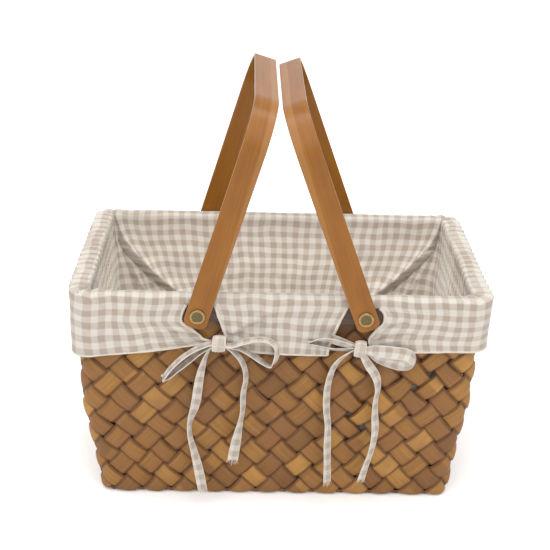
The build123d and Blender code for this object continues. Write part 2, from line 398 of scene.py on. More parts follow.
def handle_material(name, pivot, lean):
    """Varnished bentwood: straight grain that follows the strap up one leg, over the bend and down the other."""
    s = Shader(name)
    x, y, z = s.split(s.here())
    dx, dz = s.math("SUBTRACT", x, pivot[0]), s.math("SUBTRACT", z, pivot[2])
    across = s.math("MULTIPLY_ADD", dx, math.cos(lean), s.times(dz, -math.sin(lean)))
    upward = s.math("MULTIPLY_ADD", dx, math.sin(lean), s.times(dz, math.cos(lean)))
    length = s.math("SUBTRACT", upward, s.math("ABSOLUTE", y))
    wander = s.noise(s.stretched(length, 9.0, across, 30.0), 1.0, 2.0)
    bent = s.math("MULTIPLY_ADD", wander, 6.0 * MM, across)
    grain = s.noise(s.stretched(length, 7.0, bent, 260.0, 1.7), 1.0, 5.0, 0.6)
    pores = s.noise(s.stretched(length, 90.0, bent, 2200.0), 1.0, 2.0)
    cloud = s.noise(s.stretched(length, 16.0, across, 40.0, 5.0), 1.0, 2.0)
    tone = s.math("MULTIPLY_ADD", cloud, 0.45, s.times(grain, 0.6))
    colour = s.ramp(tone, [(0.25, rgb(106, 60, 6)), (0.5, rgb(124, 75, 9)), (0.78, rgb(139, 89, 14))])
    colour = s.mix(s.span(pores, 0.55, 0.8, 0.0, 0.4), colour, rgb(84, 49, 20))
    paler_edge = s.span(s.math("ABSOLUTE", across), 10.6 * MM, 11.5 * MM, 0.0, 0.35)
    colour = s.mix(paler_edge, colour, rgb(156, 112, 66))
    s.bump(s.math("MULTIPLY_ADD", pores, -0.5, grain), 0.08 * MM, 0.35)
    return s.finish(colour, 0.4, Coat_Weight=0.22, Coat_Roughness=0.2, Specular_IOR_Level=0.25)


def brass_material():
    """Aged brass: a brighter worn ring round a dark recess."""
    s = Shader("antique_brass")
    x, _, z = s.split(s.here())
    dx = s.math("SUBTRACT", s.math("ABSOLUTE", x), pivot_spread)
    dz = s.math("SUBTRACT", z, pivot_height)
    radius = s.math("SQRT", s.math("ADD", s.times(dx, dx), s.times(dz, dz)))
    worn = s.noise(s.here(), 900.0, 4.0, 0.65)
    ring = s.ramp(worn, [(0.3, rgb(118, 94, 56)), (0.6, rgb(165, 140, 96)), (0.8, rgb(196, 174, 132))])
    recess = s.ramp(worn, [(0.3, rgb(80, 70, 48)), (0.7, rgb(118, 103, 72))])
    colour = s.mix(s.span(radius, 5.5 * MM, 5.0 * MM, 0.0, 1.0), ring, recess)
    s.bump(worn, 0.05 * MM, 0.4)
    return s.finish(colour, s.span(worn, 0.3, 0.8, 0.42, 0.26), Metallic=1.0)


def steel_material():
    """Dull steel of the tacks."""
    s = Shader("tack_steel")
    scuff = s.noise(s.here(), 1400.0, 3.0)
    colour = s.ramp(scuff, [(0.3, rgb(120, 116, 110)), (0.7, rgb(170, 166, 158))])
    return s.finish(colour, 0.4, Metallic=1.0)


def floor_material():
    """The plain white surface that the basket stands on."""
    s = Shader("studio_floor")
    mottle = s.noise(s.here(), 3.0, 2.0)
    colour = s.ramp(mottle, [(0.0, rgb(248, 248, 248)), (1.0, rgb(252, 252, 252))])
    return s.finish(colour, 0.9, Specular_IOR_Level=0.1)


gingham, strip_wood, band_wood = gingham_material(), strip_material(), band_material()
brass, steel = brass_material(), steel_material()


def paint(node, material):
    """Gives a CAD piece one material all over."""
    mesh = frame["nodes"][node].data
    mesh.materials.clear()
    mesh.materials.append(material)
    mesh.polygons.foreach_set("material_index", [0] * len(mesh.polygons))


# ---------------------------------------------------------------------------------------------------------
# Plaited strips
# ---------------------------------------------------------------------------------------------------------
repeats_round = 38
repeat = perimeter / repeats_round  # the plait repeats at this distance, both round and up
strip_width = 17.3 * MM
strip_thickness = 1.2 * MM
rise = 2.2 * MM  # a strip above or below the middle of the plait where it crosses another
rim_rise = 0.95 * MM  # the plait is pressed flat between the rim bands
middle_depth, rim_depth = 2.5 * MM, 1.55 * MM  # middle of the plait below the tub's outer face, free and pressed
plait_shift_round, plait_shift_up = -7.0 * MM, 8.0 * MM  # a strip that rises to the right is on top here
under_reach = 16.0 * MM  # the wall strips turn this far under the base
strips_below_rim = 11.0 * MM
edge_arc = edge_radius * math.pi / 2
# Where four strips meet on the front and leave a hole that shows the liner, in half repeats round and up
open_crossings = ((10, 9), (9, 8), (6, 5), (4, 9), (5, 6))
open_spots = [(plait_shift_round + a * repeat / 2, plait_shift_up + b * repeat / 2) for a, b in open_crossings]
dice = random.Random(5)


def wall_surface(around, up):
    """Points and outward directions on the tub, a distance round it and a distance up its profile."""
    turn = np.clip(up / edge_arc, 0.0, 1.0) * math.pi / 2
    height = np.where(up < edge_arc, edge_radius * (1 - np.cos(turn)), edge_radius + up - edge_arc)
    inset = edge_radius * (1 - np.sin(turn)) + np.clip(-up, 0.0, None)
    half_x, half_y = half_sizes(height)
    radius = np.clip(corner_radius - inset, 1.0 * MM, None)
    x, y, nx, ny = round_tub(around / perimeter, half_x - inset, half_y - inset, radius)
    normal = np.stack([nx * np.sin(turn), ny * np.sin(turn), -np.cos(turn)], -1)
    belly = np.sin(math.pi * np.clip(height / rim_start, 0.0, 1.0))
    foot = np.sign(x) * np.exp(-((height / (42 * MM)) ** 2)) * smooth(np.abs(x) / (80 * MM))
    x = x - 2.0 * MM * belly + 1.4 * MM * foot
    return np.stack([x, y, height], -1), normal


def base_surface(x, y):
    """Points and outward directions under the base."""
    return np.stack([x, y, np.full(x.shape, 0.5 * MM)], -1), np.broadcast_to([0.0, 0.0, -1.0], (*x.shape, 3))


# Cross-section of a strip, two plies, the lower one wider: places across it and up it
ring_across = np.array([-1.22, -1.2, -1.03, -1.0, -0.97, -0.7, -0.35, 0.0, 0.35, 0.7, 0.97, 1.0, 1.03, 1.2, 1.22,
                        1.1, 0.5, 0.0, -0.5, -1.1])
ring_up = np.array([-0.45, -0.25, -0.2, 0.1, 0.45, 0.5, 0.5, 0.5, 0.5, 0.5, 0.45, 0.1, -0.2, -0.25, -0.45,
                    -0.6, -0.6, -0.6, -0.6, -0.6])


def near_open_spot(around, up, reach):
    """How near places on the front wall are to the open crossings of the plait, from 0 to 1."""
    near = 0.0 * around
    for spot_round, spot_up in open_spots:
        near = np.maximum(near, np.exp(-(((around - spot_round) ** 2 + (up - spot_up) ** 2) / reach ** 2)))
    return near


def plait_strip(surface, start, finish, rising, number):
    """Points and attributes of one strip from one place on a surface to another, as a closed tube of rings."""
    on_wall = surface is wall_surface
    length = math.dist(start, finish)
    share = np.linspace(0.0, 1.0, max(int(length / (2.6 * MM)), 2) + 1)
    along = share * length
    phase, width = dice.uniform(0, 6.28), strip_width * dice.uniform(0.95, 1.06)
    wander = (0.7 * np.sin(along / (48 * MM) + phase) + 0.35 * np.sin(along / (17 * MM) + 2 * phase)) * MM
    first = start[0] + (finish[0] - start[0]) * share
    second = start[1] + (finish[1] - start[1]) * share
    wave = np.cos(2 * math.pi * (second - plait_shift_up) / repeat)
    wave = np.sign(wave) * np.abs(wave) ** 0.7 * (1 if rising else -1)
    pressed, gap = np.ones(share.shape), np.zeros(share.shape)
    if on_wall:
        level_now = edge_radius + second - edge_arc
        at_rim = smooth((level_now - rim_start + 14 * MM) / (12 * MM))
        pressed = np.maximum(at_rim, smooth((4 * MM - level_now) / (14 * MM)))
        gap = near_open_spot(first, second, 14 * MM)
    lift = (rise + (rim_rise - rise) * pressed) * wave * (1 + 0.1 * np.sin(along / (31 * MM) + 2 * phase))
    depth = middle_depth + (rim_depth - middle_depth) * pressed
    tilt = 0.75 * MM * np.sin(along / (13 * MM) + 3 * phase) * np.sin(along / (47 * MM) + phase)
    tilt = tilt * (1 - 0.9 * pressed)
    narrowing = np.where(np.abs(ring_across) > 1.01, 0.5, 0.4) * gap[:, None]
    across = ring_across[None, :] * (1 - narrowing) * width / 2
    side = np.abs(ring_across)[None, :]
    shift = (across + wander[:, None]) / math.sqrt(2)
    point, normal = surface(first[:, None] + shift, second[:, None] + (-shift if rising else shift))
    crown = -0.75 * MM * side ** 2.4 * (1 - 0.6 * pressed[:, None])
    level = lift[:, None] + crown + tilt[:, None] * ring_across[None, :] + ring_up[None, :] * strip_thickness
    point = point + normal * (level - depth[:, None])[..., None]
    tile = np.floor(along / (repeat * math.sqrt(2)) + phase)
    tone = np.array([random.Random(f"{number} {t}").random() for t in tile])
    tone = 0.6 * tone + 0.4 * dice.random()
    strip, lie = (
        np.stack([np.broadcast_to(values, across.shape) for values in lanes], -1)
        for lanes in ((along[:, None], across, number * 3.7), (wave[:, None], side, tone[:, None]))
    )
    return *(values.reshape(-1, 3) for values in (point, strip, lie)), len(along)


def build_plait(name, runs, surface):
    """All strips of one surface as one piece."""
    points, strips, lies, faces = [], [], [], []
    start = 0
    for number, (first, last, rising) in enumerate(runs):
        point, strip, lie, rows = plait_strip(surface, first, last, rising, number)
        faces += tube_faces(rows, len(ring_across), start)
        points.append(point)
        strips.append(strip)
        lies.append(lie)
        start += len(point)
    attributes = {"strip": np.concatenate(strips), "lie": np.concatenate(lies)}
    piece = mesh_object(name, np.concatenate(points), faces, strip_wood, attributes)
    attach(piece, BASKET)
    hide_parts("woven_body")


def wall_runs():
    """Both slanting sets of strips of the walls: first place, last place, and whether it rises to the right."""
    low, high = -under_reach, edge_arc + rim_top - edge_radius - strips_below_rim
    runs = []
    for number in range(repeats_round):
        middle = plait_shift_round + number * repeat
        for rising in (True, False):
            way = 1 if rising else -1
            runs.append(((middle + way * (low - plait_shift_up), low),
                         (middle + way * (high - plait_shift_up), high), rising))
    return runs


def base_runs():
    """Both slanting sets of strips under the base, up to the ends of the wall strips."""
    half_x, half_y = outline[0, 1:] - 14 * MM
    runs = []
    for number in range(-12, 13):
        for rising in (True, False):
            way = 1 if rising else -1
            middle = plait_shift_round + number * repeat - way * plait_shift_up
            low = max(-half_y, min((-half_x - middle) / way, (half_x - middle) / way))
            high = min(half_y, max((-half_x - middle) / way, (half_x - middle) / way))
            if high - low > 20 * MM:
                runs.append(((middle + way * low, low), (middle + way * high, high), rising))
    return runs


build_plait("plaited_walls", wall_runs(), wall_surface)
build_plait("plaited_base", base_runs(), base_surface)

# ---------------------------------------------------------------------------------------------------------
# CAD pieces that keep their shape
# ---------------------------------------------------------------------------------------------------------
for node in ("outer_rim_band", "inner_rim_band"):
    paint(node, band_wood)
paint("rim_tacks", steel)
crossbar_depth = 8.5 * MM  # takes in the crossbar of a handle, which lies this far below its highest point
for side, pivot in pivots.items():
    points = [v.co for v in frame["nodes"][f"{side}_handle"].data.vertices]
    highest = max(co.z for co in points)
    crossbar = [co.x for co in points if co.z > highest - crossbar_depth]
    lean = math.atan2(sum(crossbar) / len(crossbar) - pivot[0], highest - 4 * MM - pivot[2])
    paint(f"{side}_handle", handle_material(f"varnished_bentwood_{side}", pivot, lean))
for face in ("front", "back"):
    for side in ("left", "right"):
        for part in ("rivet", "spacer", "burr"):
            paint(f"{part}_{face}_{side}", brass)

# ---------------------------------------------------------------------------------------------------------
# Liner: one cloth, from the floor up the walls, over the rim and down outside, cut by the four slits
# ---------------------------------------------------------------------------------------------------------
cloth_out = skirt_face - cloth / 2  # half width over the middle of the skirt cloth
rim_half_x, rim_half_y = outline[-1, 1], outline[-1, 2]
out_offset = cloth_out - rim_half_y
in_offset = -(weave_thickness + band_thickness + burr_room + cloth / 2)
top_level = liner_top - cloth / 2
hem_depth = fold_bottom - hem_level

# Left and right edges of the two slits of a long wall, and the middle of the knot that draws each together, from
# a pivot: across, then up, in millimetres. Each edge starts in the fold.
slit_edges = {
    "wide": (
        ((-9.5, 9.3), (-12.5, 3), (-14.2, -4), (-13.4, -10), (-6, -15), (0.3, -20.5), (4.5, -26),
         (10, -28.6), (15, -30.5)),
        ((17.5, 9.3), (19.5, 4), (21.2, -2), (23, -7), (24.6, -12), (26.4, -17), (28, -21.5),
         (28.4, -26), (27, -31)),
        (20.8, -29.0),
    ),
    "narrow": (
        ((-19, 9.3), (-22, 3), (-25, -4), (-28, -11.5), (-30.5, -19), (-33, -26.5), (-35, -33),
         (-36, -38.5), (-36, -42)),
        ((11.5, 9.3), (15.8, 5), (17.4, -1), (15.6, -8), (10, -14.5), (6, -21), (3.5, -27.5),
         (7, -36), (11, -43)),
        (-3.8, -32.0),
    ),
}
rows_per_span = 3
skirt_rows = (len(slit_edges["wide"][0]) - 1) * rows_per_span + 1
column_width = 2.2 * MM  # of the cloth's grid, about

# The four slits in the order met going round from the middle of the front: on the front or not, kind, pivot
slits = [(on_front, kind, pivot_spread if kind == "narrow" else -pivot_spread)
         for on_front, kind in ((True, "narrow"), (False, "wide"), (False, "narrow"), (True, "wide"))]


def share_at(on_front, across):
    """Share of the way round of a place on a long wall, given along that wall from its middle."""
    return (across / perimeter) % 1.0 if on_front else 0.5 + across / perimeter


def eased(points, count):
    """A list of places made into count places along a smooth curve through them."""
    points = np.array(points, float)
    out = []
    for value in np.linspace(0, len(points) - 1, count):
        k = min(int(value), len(points) - 2)
        a, b = points[max(k - 1, 0)], points[min(k + 2, len(points) - 1)]
        p, q, f = points[k], points[k + 1], value - k
        m, n = (q - a) / 2, (b - p) / 2
        out.append((2 * f**3 - 3 * f**2 + 1) * p + (f**3 - 2 * f**2 + f) * m
                   + (3 * f**2 - 2 * f**3) * q + (f**3 - f**2) * n)
    return np.array(out)


def liner_columns():
    """Shares of the way round for the liner's columns, in four skirts parted by the four slits."""
    skirts, gaps, edges = [], [], []
    for on_front, kind, pivot in slits:
        edges.append([share_at(on_front, pivot + side[0][0] * MM) for side in slit_edges[kind][:2]])
    for number in range(4):
        start, finish = edges[number][1], edges[(number + 1) % 4][0]
        finish += 1.0 if finish < start else 0.0
        count = max(int((finish - start) * perimeter / column_width), 4)
        skirts.append(np.linspace(start, finish, count + 1))
        gaps.append(np.linspace(*edges[number], 13)[1:-1])
    return skirts, gaps


skirt_shares, gap_shares = liner_columns()


def knot_pucker(across, height):
    """Creases that fan out from the knots, and the raised folds, as on a long wall."""
    lift = np.zeros(across.shape)
    for kind, direction in (("wide", -1), ("narrow", 1)):
        knot = slit_edges[kind][2]
        dx = across - (direction * pivot_spread + knot[0] * MM)
        dz = height - (pivot_height + knot[1] * MM)
        away = np.hypot(dx, dz)
        fan = np.cos(17 * np.arctan2(dz, dx) + 0.8 * np.sin(away / (11 * MM)) + 1.3 * direction)
        lift += 1.15 * MM * fan * np.exp(-away / (26 * MM)) * smooth(away / (8 * MM))
    for (x1, z1), (x2, z2), high, wide in gather_folds:
        run = math.hypot(x2 - x1, z2 - z1)
        dx, dz = across / MM - x1, height / MM - z1
        t = (dx * (x2 - x1) + dz * (z2 - z1)) / run**2
        off = (dx * (z2 - z1) - dz * (x2 - x1)) / run + 2.5 * np.sin(3 * t)
        ridge = np.exp(-((off / wide) ** 2)) - 0.55 * np.exp(-(((off - 1.9 * wide) / wide) ** 2))
        lift += high * MM * smooth(t * 8) * smooth((1.0 - t) * 2.2) * ridge
    return lift


# Raised folds of the gathered cloth on a long wall: from, to (across and level), height and half width, all in
# millimetres
gather_folds = (
    ((-52, 191), (2, 223), 3.4, 2.8),
    ((-54, 188), (10, 204), -1.8, 1.8),
    ((-72, 190), (-128, 203), -1.9, 1.7),
    ((-74, 187), (-152, 190), -2.0, 2.0),
    ((-73, 185), (-118, 178), -1.4, 1.6),
    ((84, 191), (138, 214), -1.7, 1.6),
    ((86, 186), (150, 199), -1.9, 1.8),
    ((58, 187), (12, 197), 1.6, 2.4),
)


def outside_lift(points, share, height):
    """How far the cloth outside the rim stands out from its flat place: ripples, puckers and looser ends."""
    across, on_long = wall_frame(share)
    below = np.clip(liner_top - height, 0, None)
    lift = 0.55 * MM * ripple(points, 0.045, 1) + 0.3 * MM * ripple(points, 0.016, 2)
    lift *= 0.35 + 0.65 * smooth(below / (30 * MM))
    lift += knot_pucker(across, height) * on_long
    return lift + (1 - on_long) * 2.6 * MM * (0.7 + 0.5 * ripple(points, 0.05, 8))


def hem_slant(share):
    """How far the hem is above its middle level: the liner sits askew, deeper at the left of each long wall."""
    turned = np.mod(share + 0.25, 0.5) - 0.25
    return np.interp(turned, [-0.25, -0.16, 0.0, 0.04, 0.16, 0.25], [2.5, -4.5, 1.8, 3.2, 9.5, 2.5]) * MM


def skirt_place(shares, number):
    """Where each point of a skirt lies: share of the way round and height, drawn in towards its two knots."""
    drop = np.linspace(0.0, hem_depth, skirt_rows)
    share = np.broadcast_to(shares[None, :], (skirt_rows, len(shares))).copy()
    height = fold_bottom - drop[:, None] + hem_slant(shares)[None, :] * (drop[:, None] / hem_depth) ** 1.5
    ends = ((slits[number][1], 1, 0), (slits[(number + 1) % 4][1], 0, -1))
    for kind, side, column in ends:
        edge = eased(slit_edges[kind][side], skirt_rows) * MM
        pull = np.exp(-np.abs(shares - shares[column]) * perimeter / (34 * MM))
        move_across = edge[:, 0] - edge[0, 0]
        move_up = edge[:, 1] + pivot_height - height[:, column]
        share += (move_across[:, None] * pull[None, :]) / perimeter
        height += move_up[:, None] * pull[None, :] ** 1.2
    bow = 1.6 * MM * np.sin(shares * perimeter / (41 * MM)) * (drop[:, None] / hem_depth) ** 2
    return share, height + bow, drop


def wall_frame(share):
    """Place along its long wall of each point, and how fully it is on one rather than on an end wall."""
    across = (np.mod(share + 0.25, 0.5) - 0.25) * perimeter
    return across, smooth((rim_half_x - 8 * MM - np.abs(across)) / (30 * MM))


def pocket_profile():
    """Cloth from the bottom of the inside wall up, over the rim and down to the foot of the fold."""
    levels = np.concatenate([np.linspace(5 * MM, 95 * MM, 24)[:-1], np.linspace(95 * MM, top_level - 5 * MM, 66)])
    inner = [(in_offset, z) for z in levels]
    radius = 3.4 * MM
    roll = []
    for angle in np.linspace(180, 90, 6)[1:]:
        a = math.radians(angle)
        roll.append((in_offset + radius + radius * math.cos(a), top_level - radius + radius * math.sin(a)))
    for share in (0.33, 0.66):
        crown = 0.5 * MM * math.sin(math.pi * share)
        roll.append((in_offset + radius + share * (out_offset - in_offset - 2 * radius), top_level + crown))
    for angle in np.linspace(90, 0, 6):
        a = math.radians(angle)
        roll.append((out_offset - radius + radius * math.cos(a), top_level - radius + radius * math.sin(a)))
    roll.append((out_offset, (roll[-1][1] + fold_bottom) / 2))
    roll.append((out_offset, fold_bottom))
    return inner + roll


def open_spot_share(share, height):
    """How near each point of the pocket is to an open spot; these are all in the first half of the way round."""
    far_away = 9.0
    return near_open_spot(np.where(share > 0.5, far_away, share * perimeter), height, 22 * MM)


def pocket_shape(share, offset, height):
    """Points of the pocket: tight at the rim, hanging as a loose bag with soft folds lower down."""
    x_half, y_half = half_sizes(height)
    drop = np.clip((liner_top - height) / liner_top, 0.0, 1.0)
    inside = smooth((-offset - 5 * MM) / (4 * MM))
    across, long_wall = wall_frame(share)
    bag = inside * smooth(drop * 1.6) * 5.0 * MM
    corner = np.exp(-(((np.abs(across) - rim_half_x + 16 * MM) / (26 * MM)) ** 2))
    from_end = np.clip(rim_half_x - 10 * MM - np.abs(across), 0, None)
    fall = 8 * MM + 11.2 * MM * np.sqrt(from_end / MM)
    above_fold = height - (liner_top - fall)
    droop = smooth(above_fold / (3 * MM) + 0.5) * np.exp(-np.clip(above_fold, 0, None) / (16 * MM))
    tuck = np.exp(-(((above_fold + 3.5 * MM) / (3.2 * MM)) ** 2))
    reach = smooth((112 * MM - from_end) / (38 * MM)) * smooth(long_wall * 4)
    bag = bag + inside * (9.5 * MM * droop * smooth(drop * 14) - 4.0 * MM * tuck * smooth(drop * 6)) * reach
    second_fold = height - (liner_top - 1.45 * fall - 16 * MM)
    bag = bag + inside * 3.5 * MM * smooth(second_fold / (3 * MM) + 0.5) * np.exp(
        -np.clip(second_fold, 0, None) / (12 * MM)) * reach
    bag = bag + inside * 5.0 * MM * corner * smooth(drop * 3)
    bag = bag * (1 - 0.85 * open_spot_share(share, height))
    half_x, half_y = x_half + offset - bag, y_half + offset - bag
    radius = np.clip(corner_radius + offset + bag * 0.4 + inside * 12 * MM * smooth(drop * 2), 3 * MM, None)
    x, y, nx, ny = round_tub(share, half_x, half_y, radius)
    return x, y, nx, ny, inside, drop


def build_liner():
    """The whole cloth as one mesh: pocket, floor, rim and skirts, with the place on the flat cloth kept."""
    pocket_shares, column_of = [], {}
    for number, shares in enumerate(skirt_shares):
        for k in range(len(shares)):
            column_of[number, k] = len(pocket_shares) + k
        pocket_shares += [*shares, *gap_shares[(number + 1) % 4]]
    columns = len(pocket_shares)
    profile = np.array(pocket_profile())
    lengths = distances(profile)
    share, offset = np.meshgrid(pocket_shares, profile[:, 0])
    height = np.broadcast_to(profile[:, 1:], share.shape)
    x, y, nx, ny, inside, drop = pocket_shape(share, offset, height)
    flat = np.stack([x, y, height], -1).reshape(-1, 3)
    outward = np.stack([nx, ny, np.zeros(nx.shape)], -1).reshape(-1, 3)
    share, offset, height, inside, drop = (values.ravel() for values in (share, offset, height, inside, drop))

    below, on_end = liner_top - height, 1 - wall_frame(share)[1]
    out_share = smooth((offset - out_offset + 3 * MM) / (3 * MM))
    gathers = 2 * np.abs(np.sin(share * perimeter / (3.7 * MM) + 0.8 * ripple(flat, 0.03, 9))) - 1
    near_top = np.exp(-((below / (9 * MM)) ** 2))
    in_lift = -np.abs(3.4 * MM * ripple(flat, 0.055, 3) + 1.4 * MM * ripple(flat, 0.024, 4))
    in_lift *= inside * smooth(drop * 5) * (1 - open_spot_share(share, height))
    in_lift -= 1.7 * MM * on_end * (1 + gathers) * np.exp(-((below / (60 * MM)) ** 2)) * inside
    out_lift = (outside_lift(flat, share, height) + 1.2 * MM * on_end * gathers * near_top) * out_share
    roll_lift = 0.35 * MM * ripple(flat, 0.02, 6) * (1 - inside) * (1 - out_share)
    roll_lift += 1.4 * MM * on_end * gathers * near_top
    pocket = flat + outward * (in_lift + out_lift)[:, None]
    pocket[:, 2] += roll_lift
    points = [pocket]
    cloth_place = [np.stack([share * perimeter, np.repeat(lengths, columns), np.zeros(len(share))], -1)]
    faces = faces_between(grid_rows(len(profile), columns), closed=True)
    fold_row = (len(profile) - 1) * columns
    total = len(pocket)

    hems = []
    for number, shares in enumerate(skirt_shares):
        share, height, drop = skirt_place(shares, number)
        rows, count = share.shape
        out = np.full(share.shape, out_offset)
        x, y, nx, ny = round_tub(share, rim_half_x + out, rim_half_y + out, corner_radius + out)
        flat = np.stack([x, y, height], -1).reshape(-1, 3)
        outward = np.stack([nx, ny, np.zeros(nx.shape)], -1).reshape(-1, 3)
        lift = outside_lift(flat, share.ravel(), height.ravel())
        grid = (flat + outward * lift[:, None]).reshape(rows, count, 3)
        hems.append([*grid[:, 0], *grid[-1, 1:-1], *grid[::-1, -1]])
        fold = [fold_row + column_of[number, k] for k in range(count)]
        faces += faces_between([fold, *grid_rows(rows - 1, count, total)])
        points.append(grid[1:].reshape(-1, 3))
        across, down = np.broadcast_arrays(shares * perimeter, lengths[-1] + drop[:, None])
        cloth_place.append(np.stack([across, down, np.zeros(share.shape)], -1)[1:].reshape(-1, 3))
        total += (rows - 1) * count

    wall_foot = pocket[:columns]
    floor_level, floor_rings = 4.4 * MM, 26
    for k in range(1, floor_rings + 1):
        inward = k / floor_rings
        ring = wall_foot * (1 - inward)
        ring[:, 2] = floor_level + (wall_foot[:, 2] - floor_level) * max(0.0, 1 - 6 * inward)
        ring[:, 2] += 0.5 * MM * np.abs(ripple(ring, 0.04, 11)) * min(1.0, 4 * inward)
        points.append(ring)
        cloth_place.append(ring * [1, 1, 0])
    rings = [range(columns), *grid_rows(floor_rings, columns, total)]
    faces += [(b, a, d, c) for a, b, c, d in faces_between(rings, closed=True)]
    attributes = {"cloth": np.concatenate(cloth_place)}
    return mesh_object("cloth_liner", np.concatenate(points), faces, gingham, attributes), hems


liner, hem_runs = build_liner()


def join_doubles(piece):
    """Joins points that coincide, such as the middle of the floor."""
    work = bmesh.new()
    work.from_mesh(piece.data)
    bmesh.ops.remove_doubles(work, verts=work.verts, dist=0.02 * MM)
    work.to_mesh(piece.data)
    work.free()


join_doubles(liner)
thicken(liner, visual_cloth)
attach(liner, BASKET)
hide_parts("liner_pocket", "skirt_front", "skirt_back", "skirt_left", "skirt_right")

# ---------------------------------------------------------------------------------------------------------
# Ribbons: hems, loops and tie ends
# ---------------------------------------------------------------------------------------------------------
def ribbon(name, centres, widths, turns, thickness=0.7 * MM, cup=0.0, edge_share=0.16, fray=0.0, shift=0.0):
    """A flat band along centres. At a turn of 0 its face is to the long wall's outside; at 90 degrees its edge is.

    centres are in the front wall's frame, outside being -Y, and are evenly spaced.
    """
    centres = np.array(centres)
    count = len(centres)
    tangent = unit(np.gradient(centres, axis=0))
    sideways = unit(np.cross(tangent, [0.0, -1.0, 0.0]))
    lifted = np.cross(sideways, tangent)
    angle = np.radians(np.array(turns))[:, None]
    across = np.cos(angle) * sideways + np.sin(angle) * lifted
    face = np.cross(across, tangent)
    lanes = np.array([-1.0, -0.86, -0.6, -0.3, 0.0, 0.3, 0.6, 0.86, 1.0])
    half = np.array(widths)[:, None] / 2 * np.ones((1, len(lanes)))
    place = distances(centres)
    bend = cup * (lanes**2 - 0.4)
    lane_wave = 0.18 * MM * np.sin(place[:, None] / (7 * MM) + lanes * 2.5)
    points = (centres[:, None, :] + across[:, None, :] * (half * lanes)[..., None]
              + face[:, None, :] * (bend[None, :] + lane_wave)[..., None])
    edge = np.clip((np.abs(lanes) - (1 - edge_share)) / (edge_share * 0.6), 0, 1)
    cloth_place = np.stack(np.broadcast_arrays(half * lanes + shift * MM, place[:, None] + shift * 0.7 * MM, edge), -1)
    piece = mesh_object(name, points.reshape(-1, 3), faces_between(grid_rows(count, len(lanes))), gingham,
                        {"cloth": cloth_place.reshape(-1, 3)})
    thicken(piece, thickness)
    if fray:
        add_threads(piece, points[-1], tangent[-1], fray)
    return piece


def add_threads(piece, row, along, length):
    """Loose threads at the cut end of a tie."""
    chance = random.Random(len(piece.data.vertices))
    work = bmesh.new()
    work.from_mesh(piece.data)
    layer = work.verts.layers.float_vector["cloth"]
    for lane in range(0, len(row) - 1):
        for _ in range(2):
            share = chance.random()
            start = Vector(row[lane] * (1 - share) + row[lane + 1] * share)
            way = Vector(along) + Vector((chance.uniform(-0.5, 0.5), chance.uniform(-0.5, 0.2), 0))
            reach = length * chance.uniform(0.35, 1.0)
            bend = Vector((chance.uniform(-1, 1), chance.uniform(-1, 1), 0)) * reach * 0.3
            radius = 0.16 * MM
            rings = []
            for k in range(4):
                t = k / 3
                centre = start + way * reach * t + bend * t * t
                rings.append([work.verts.new(centre + Vector((radius * math.cos(a), radius * math.sin(a), 0)))
                              for a in (0.0, 2.1, 4.2)])
                for vertex in rings[-1]:
                    vertex[layer] = (0, 0, 1)
            for low, high in zip(rings, rings[1:]):
                for k in range(3):
                    work.faces.new((low[k], low[(k + 1) % 3], high[(k + 1) % 3], high[k]))
            work.faces.new(rings[0][::-1])
            work.faces.new(rings[-1])
    work.to_mesh(piece.data)
    work.free()


def turned_to(piece, face):
    """Puts a piece built for the front wall on its own wall, the back being the front turned half round Z."""
    if face == "back":
        piece.data.transform(Matrix.Rotation(math.pi, 4, "Z"))
        piece.data.update()
    return piece


def hem(name, run, width, thickness):
    """A rolled hem: a flattened cream tube along the cut edge of the cloth."""
    line = spaced(eased(run, 24 * len(run)), 1.6 * MM)
    tangent = unit(np.gradient(line, axis=0))
    flat = np.array([rim_half_x - corner_radius, rim_half_y - corner_radius, 0.0])
    outward = line * [1, 1, 0]
    outward = unit(outward - np.clip(outward, -flat, flat))
    side = unit(np.cross(tangent, outward))
    place = distances(line)
    lumpy = 1 + 0.12 * np.sin(place / (4.3 * MM)) + 0.08 * np.sin(place / (1.9 * MM) + 1)
    points, cloth_place, lanes = [], [], 10
    for k in range(lanes):
        a = 2 * math.pi * k / lanes
        points.append(line + side * (width / 2 * math.cos(a) * lumpy)[:, None]
                      + outward * (thickness / 2 * math.sin(a) + 0.15 * MM))
        cloth_place.append(np.stack([np.full(len(line), k * 0.6 * MM), place, np.full(len(line), 0.8)], -1))
    points, cloth_place = (np.stack(values, 1).reshape(-1, 3) for values in (points, cloth_place))
    return mesh_object(name, points, tube_faces(len(line), lanes), gingham, {"cloth": cloth_place})


slit_hem, skirt_hem = (2.9 * MM, 1.7 * MM), (2.0 * MM, 1.3 * MM)  # width and thickness
for name, run in zip(("right", "back", "left", "front"), hem_runs):
    first, bottom, last = run[:skirt_rows], run[skirt_rows - 1:1 - skirt_rows], run[-skirt_rows:]
    for label, part, size in (("start", first, slit_hem), ("bottom", bottom, skirt_hem), ("end", last, slit_hem)):
        piece = hem(f"hem_{name}_{label}", part, *size)
        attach(piece, BASKET)

